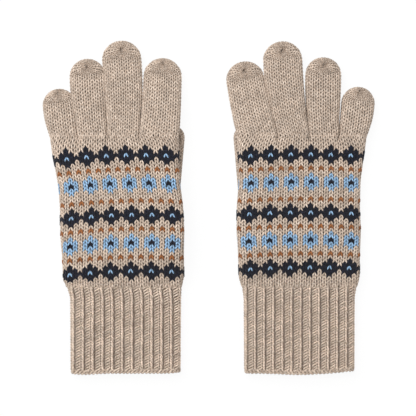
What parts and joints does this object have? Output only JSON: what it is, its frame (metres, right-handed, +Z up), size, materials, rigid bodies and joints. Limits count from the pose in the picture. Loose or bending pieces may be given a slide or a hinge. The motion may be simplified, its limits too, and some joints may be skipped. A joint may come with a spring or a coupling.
{
  "type": "knitted gloves",
  "caption": "Knitted gloves lying palm down, with ribbed cuffs, hollow fingers that fold at their roots and thumbs tucked under the palms.",
  "frame": {"origin": "on the table under the middle of the ground that the pair covers", "axes": "+Z up, +Y from the cuffs to the fingertips, +X from the left glove to the right one, seen from above"},
  "size_m": [0.259, 0.2602, 0.0228],
  "materials": {
    "beige_wool": "mottled oatmeal wool yarn, plain knit and rib",
    "navy_wool": "navy wool yarn",
    "blue_wool": "light blue wool yarn",
    "brown_wool": "tan brown wool yarn"
  },
  "bodies": {
    "left_hand": {"left_hand": "beige_wool", "left_navy_floats": "navy_wool", "left_blue_floats": "blue_wool", "left_brown_floats": "brown_wool"},
    "left_cuff": {"left_cuff_rib": "beige_wool", "left_cuff_edge": "beige_wool"},
    "left_thumb": {"left_thumb": "beige_wool", "left_thumb_tip_gather": "beige_wool"},
    "left_index": {"left_index_finger": "beige_wool", "left_index_tip_gather": "beige_wool"},
    "left_middle": {"left_middle_finger": "beige_wool", "left_middle_tip_gather": "beige_wool"},
    "left_ring": {"left_ring_finger": "beige_wool", "left_ring_tip_gather": "beige_wool"},
    "left_little": {"left_little_finger": "beige_wool", "left_little_tip_gather": "beige_wool"},
    "right_hand": {"right_hand": "beige_wool", "right_navy_floats": "navy_wool", "right_blue_floats": "blue_wool", "right_brown_floats": "brown_wool"},
    "right_cuff": {"right_cuff_rib": "beige_wool", "right_cuff_edge": "beige_wool"},
    "right_thumb": {"right_thumb": "beige_wool", "right_thumb_tip_gather": "beige_wool"},
    "right_index": {"right_index_finger": "beige_wool", "right_index_tip_gather": "beige_wool"},
    "right_middle": {"right_middle_finger": "beige_wool", "right_middle_tip_gather": "beige_wool"},
    "right_ring": {"right_ring_finger": "beige_wool", "right_ring_tip_gather": "beige_wool"},
    "right_little": {"right_little_finger": "beige_wool", "right_little_tip_gather": "beige_wool"}
  },
  "joints": [
    {"name": "left_index_bend", "type": "hinge", "parent": "left_hand", "child": "left_index", "pos_m": [-0.03724, 0.05712, 0.00818], "axis": [-1, 0, 0], "range_deg": [0, 80]},
    {"name": "left_middle_bend", "type": "hinge", "parent": "left_hand", "child": "left_middle", "pos_m": [-0.06519, 0.05692, 0.00547], "axis": [-1, 0, 0], "range_deg": [0, 80]},
    {"name": "left_ring_bend", "type": "hinge", "parent": "left_hand", "child": "left_ring", "pos_m": [-0.08924, 0.05747, 0.00294], "axis": [-1, 0, 0], "range_deg": [0, 80]},
    {"name": "left_little_bend", "type": "hinge", "parent": "left_hand", "child": "left_little", "pos_m": [-0.11214, 0.05816, 0.00049], "axis": [-1, 0, 0], "range_deg": [0, 80]},
    {"name": "left_thumb_swing", "type": "hinge", "parent": "left_hand", "child": "left_thumb", "pos_m": [-0.01934, 0.02574, 0.00775], "axis": [0, -1, 0], "range_deg": [0, 165]},
    {"name": "left_wrist_bend", "type": "hinge", "parent": "left_hand", "child": "left_cuff", "pos_m": [-0.06479, -0.06236, 0], "axis": [1, 0, 0], "range_deg": [0, 75]},
    {"name": "right_glove_slide", "type": "slide", "parent": "left_hand", "child": "right_hand", "axis": [1, 0, 0], "range_m": [0, 0.1]},
    {"name": "right_index_bend", "type": "hinge", "parent": "right_hand", "child": "right_index", "pos_m": [0.03836, 0.05928, 0.00818], "axis": [-0.9919, -0.1267, 0], "range_deg": [0, 80]},
    {"name": "right_middle_bend", "type": "hinge", "parent": "right_hand", "child": "right_middle", "pos_m": [0.06631, 0.05754, 0.00547], "axis": [-0.9987, -0.0502, 0], "range_deg": [0, 80]},
    {"name": "right_ring_bend", "type": "hinge", "parent": "right_hand", "child": "right_ring", "pos_m": [0.09036, 0.05674, 0.00294], "axis": [-0.9999, 0.0105, 0], "range_deg": [0, 80]},
    {"name": "right_little_bend", "type": "hinge", "parent": "right_hand", "child": "right_little", "pos_m": [0.11326, 0.05797, 0.00049], "axis": [-0.9968, 0.0795, 0], "range_deg": [0, 80]},
    {"name": "right_thumb_swing", "type": "hinge", "parent": "right_hand", "child": "right_thumb", "pos_m": [0.02046, 0.02574, 0.00775], "axis": [0, 1, 0], "range_deg": [0, 165]},
    {"name": "right_wrist_bend", "type": "hinge", "parent": "right_hand", "child": "right_cuff", "pos_m": [0.07171, -0.06236, 0], "axis": [1, 0, 0], "range_deg": [0, 75]}
  ]
}
